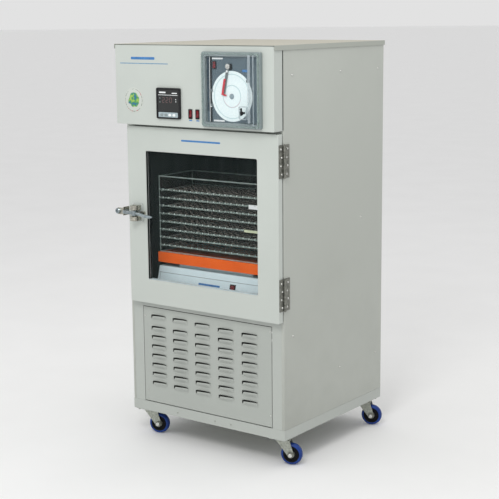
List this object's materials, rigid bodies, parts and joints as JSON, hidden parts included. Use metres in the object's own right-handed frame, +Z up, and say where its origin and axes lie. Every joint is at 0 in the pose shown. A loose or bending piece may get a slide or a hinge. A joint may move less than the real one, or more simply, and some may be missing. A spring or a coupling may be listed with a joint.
{
  "type": "laboratory incubator",
  "caption": "Upright cabinet on castors with a glazed hinged door, control fascia with a chart recorder, louvred machine bay and a shaking rack of sliding trays.",
  "frame": {"origin": "middle of the footprint, on the floor", "axes": "+Z up, -Y the door side (front), +X the hinge side"},
  "size_m": [0.6753, 0.6626, 1.308],
  "materials": {
    "cabinet_paint": "light grey semi-gloss powder coat",
    "door_paint": "light grey semi-gloss powder coat",
    "zinc": "zinc plated, slightly dull",
    "stainless": "brushed stainless sheet",
    "hinge_steel": "weathered plated steel",
    "latch_metal": "worn plated casting",
    "foam": "foamed insulation",
    "core": "lined insulating core",
    "machinery": "black painted machinery",
    "coil": "finned block",
    "fan": "plain sheet",
    "black_plastic": "moulded black",
    "grey_plastic": "moulded grey",
    "red_plastic": "moulded red",
    "pale_plastic": "moulded pale blue-grey",
    "orange_plastic": "moulded orange",
    "acrylic": "clear acrylic sheet",
    "glass": "clear float glass",
    "rubber": "extruded black gasket",
    "paper": "white chart paper",
    "wheel": "blue tread on a black core"
  },
  "bodies": {
    "cabinet": {"base_frame": "cabinet_paint", "side_panel_left": "cabinet_paint", "side_panel_right": "cabinet_paint", "back_panel": "cabinet_paint", "top_cover": "cabinet_paint", "face_frame": "cabinet_paint", "louvre_panel": "cabinet_paint", "machine_deck": "zinc", "chamber_liner": "stainless", "insulation": "foam", "evaporator_cover": "stainless", "compressor": "machinery", "condenser": "coil", "mains_inlet": "black_plastic", "hinge_leaf_casing_lower": "hinge_steel", "hinge_leaf_casing_upper": "hinge_steel", "strike_bracket": "latch_metal", "control_fascia": "cabinet_paint", "temperature_controller": "black_plastic", "switch_housing_left": "black_plastic", "switch_housing_right": "black_plastic", "recorder_case": "grey_plastic", "agitator_base": "pale_plastic", "agitator_motor": "machinery"},
    "door": {"door_shell": "door_paint", "door_core": "core", "door_glass": "glass", "door_gasket": "rubber", "hinge_leaf_door_lower": "hinge_steel", "hinge_leaf_door_upper": "hinge_steel", "latch_body": "latch_metal"},
    "latch": {"latch_lever": "latch_metal"},
    "recorder_door": {"recorder_door": "acrylic"},
    "recorder_knob": {"recorder_knob": "black_plastic"},
    "chart": {"chart_disc": "paper"},
    "pen": {"pen_arm": "black_plastic"},
    "switch_left": {"switch_rocker_left": "red_plastic"},
    "switch_right": {"switch_rocker_right": "red_plastic"},
    "agitator_switch": {"agitator_rocker": "red_plastic"},
    "circulation_fan": {"circulation_fan": "black_plastic"},
    "condenser_fan": {"condenser_fan": "fan"},
    "crank": {"agitator_crank": "zinc"},
    "shuttle": {"agitator_platform": "orange_plastic", "bag_rack": "acrylic"},
    "tray_1": {"bag_tray_1": "acrylic"},
    "tray_2": {"bag_tray_2": "acrylic"},
    "tray_3": {"bag_tray_3": "acrylic"},
    "tray_4": {"bag_tray_4": "acrylic"},
    "tray_5": {"bag_tray_5": "acrylic"},
    "tray_6": {"bag_tray_6": "acrylic"},
    "tray_7": {"bag_tray_7": "acrylic"},
    "tray_8": {"bag_tray_8": "acrylic"},
    "swivel_front_left": {"castor_fork_front_left": "zinc"},
    "wheel_front_left": {"castor_wheel_front_left": "wheel"},
    "swivel_rear_left": {"castor_fork_rear_left": "zinc"},
    "wheel_rear_left": {"castor_wheel_rear_left": "wheel"},
    "swivel_front_right": {"castor_fork_front_right": "zinc"},
    "wheel_front_right": {"castor_wheel_front_right": "wheel"},
    "swivel_rear_right": {"castor_fork_rear_right": "zinc"},
    "wheel_rear_right": {"castor_wheel_rear_right": "wheel"}
  },
  "joints": [
    {"name": "door_swing", "type": "hinge", "parent": "cabinet", "child": "door", "pos_m": [0.31871, -0.2515, 0.76], "axis": [0, 0, 1], "range_deg": [0, 160]},
    {"name": "latch_pull", "type": "hinge", "parent": "door", "child": "latch", "pos_m": [-0.24379, -0.294, 0.768], "axis": [0, 0, -1], "range_deg": [0, 12], "stiffness_Nm_per_rad": 0.6},
    {"name": "recorder_door_swing", "type": "hinge", "parent": "cabinet", "child": "recorder_door", "pos_m": [0.05571, -0.3095, 1.175], "axis": [0, 0, -1], "range_deg": [0, 105]},
    {"name": "recorder_knob_turn", "type": "hinge", "parent": "recorder_door", "child": "recorder_knob", "pos_m": [0.21721, -0.319, 1.11], "axis": [0, 1, 0], "range_deg": [0, 90]},
    {"name": "chart_turn", "type": "hinge", "parent": "cabinet", "child": "chart", "pos_m": [0.16091, -0.299, 1.156], "axis": [0, 1, 0], "continuous": true},
    {"name": "pen_swing", "type": "hinge", "parent": "cabinet", "child": "pen", "pos_m": [0.14871, -0.301, 1.2448], "axis": [0, 1, 0], "range_deg": [-12, 20]},
    {"name": "switch_tip_left", "type": "hinge", "parent": "cabinet", "child": "switch_left", "pos_m": [-0.00179, -0.291, 1.0969], "axis": [1, 0, 0], "range_deg": [0, 14]},
    {"name": "switch_tip_right", "type": "hinge", "parent": "cabinet", "child": "switch_right", "pos_m": [0.02591, -0.291, 1.0969], "axis": [1, 0, 0], "range_deg": [0, 14]},
    {"name": "agitator_switch_tip", "type": "hinge", "parent": "cabinet", "child": "agitator_switch", "pos_m": [0.09421, -0.22026, 0.545], "axis": [1, 0, 0], "range_deg": [0, 8]},
    {"name": "circulation_fan_spin", "type": "hinge", "parent": "cabinet", "child": "circulation_fan", "pos_m": [0.00321, 0.236, 0.8], "axis": [0, 1, 0], "continuous": true},
    {"name": "condenser_fan_spin", "type": "hinge", "parent": "cabinet", "child": "condenser_fan", "pos_m": [0.09321, -0.134, 0.245], "axis": [0, 1, 0], "continuous": true},
    {"name": "crank_turn", "type": "hinge", "parent": "cabinet", "child": "crank", "pos_m": [0.00321, -0.109, 0.588], "axis": [0, 0, 1], "continuous": true},
    {"name": "shuttle_slide", "type": "slide", "parent": "cabinet", "child": "shuttle", "axis": [1, 0, 0], "range_m": [-0.019, 0.019]},
    {"name": "tray_slide_1", "type": "slide", "parent": "shuttle", "child": "tray_1", "axis": [0, -1, 0], "range_m": [0, 0.03]},
    {"name": "tray_slide_2", "type": "slide", "parent": "shuttle", "child": "tray_2", "axis": [0, -1, 0], "range_m": [0, 0.03]},
    {"name": "tray_slide_3", "type": "slide", "parent": "shuttle", "child": "tray_3", "axis": [0, -1, 0], "range_m": [0, 0.03]},
    {"name": "tray_slide_4", "type": "slide", "parent": "shuttle", "child": "tray_4", "axis": [0, -1, 0], "range_m": [0, 0.03]},
    {"name": "tray_slide_5", "type": "slide", "parent": "shuttle", "child": "tray_5", "axis": [0, -1, 0], "range_m": [0, 0.03]},
    {"name": "tray_slide_6", "type": "slide", "parent": "shuttle", "child": "tray_6", "axis": [0, -1, 0], "range_m": [0, 0.03]},
    {"name": "tray_slide_7", "type": "slide", "parent": "shuttle", "child": "tray_7", "axis": [0, -1, 0], "range_m": [0, 0.03]},
    {"name": "tray_slide_8", "type": "slide", "parent": "shuttle", "child": "tray_8", "axis": [0, -1, 0], "range_m": [0, 0.03]},
    {"name": "castor_swivel_front_left", "type": "hinge", "parent": "cabinet", "child": "swivel_front_left", "pos_m": [-0.26879, -0.203, 0.08], "axis": [0, 0, 1], "continuous": true},
    {"name": "castor_roll_front_left", "type": "hinge", "parent": "swivel_front_left", "child": "wheel_front_left", "pos_m": [-0.24248, -0.19342, 0.035], "axis": [-0.342, 0.9397, 0], "continuous": true},
    {"name": "castor_swivel_rear_left", "type": "hinge", "parent": "cabinet", "child": "swivel_rear_left", "pos_m": [-0.26879, 0.282, 0.08], "axis": [0, 0, 1], "continuous": true},
    {"name": "castor_roll_rear_left", "type": "hinge", "parent": "swivel_rear_left", "child": "wheel_rear_left", "pos_m": [-0.24248, 0.29158, 0.035], "axis": [-0.342, 0.9397, 0], "continuous": true},
    {"name": "castor_swivel_front_right", "type": "hinge", "parent": "cabinet", "child": "swivel_front_right", "pos_m": [0.27521, -0.203, 0.08], "axis": [0, 0, 1], "continuous": true},
    {"name": "castor_roll_front_right", "type": "hinge", "parent": "swivel_front_right", "child": "wheel_front_right", "pos_m": [0.30152, -0.19342, 0.035], "axis": [-0.342, 0.9397, 0], "continuous": true},
    {"name": "castor_swivel_rear_right", "type": "hinge", "parent": "cabinet", "child": "swivel_rear_right", "pos_m": [0.27521, 0.282, 0.08], "axis": [0, 0, 1], "continuous": true},
    {"name": "castor_roll_rear_right", "type": "hinge", "parent": "swivel_rear_right", "child": "wheel_rear_right", "pos_m": [0.30152, 0.29158, 0.035], "axis": [-0.342, 0.9397, 0], "continuous": true}
  ]
}
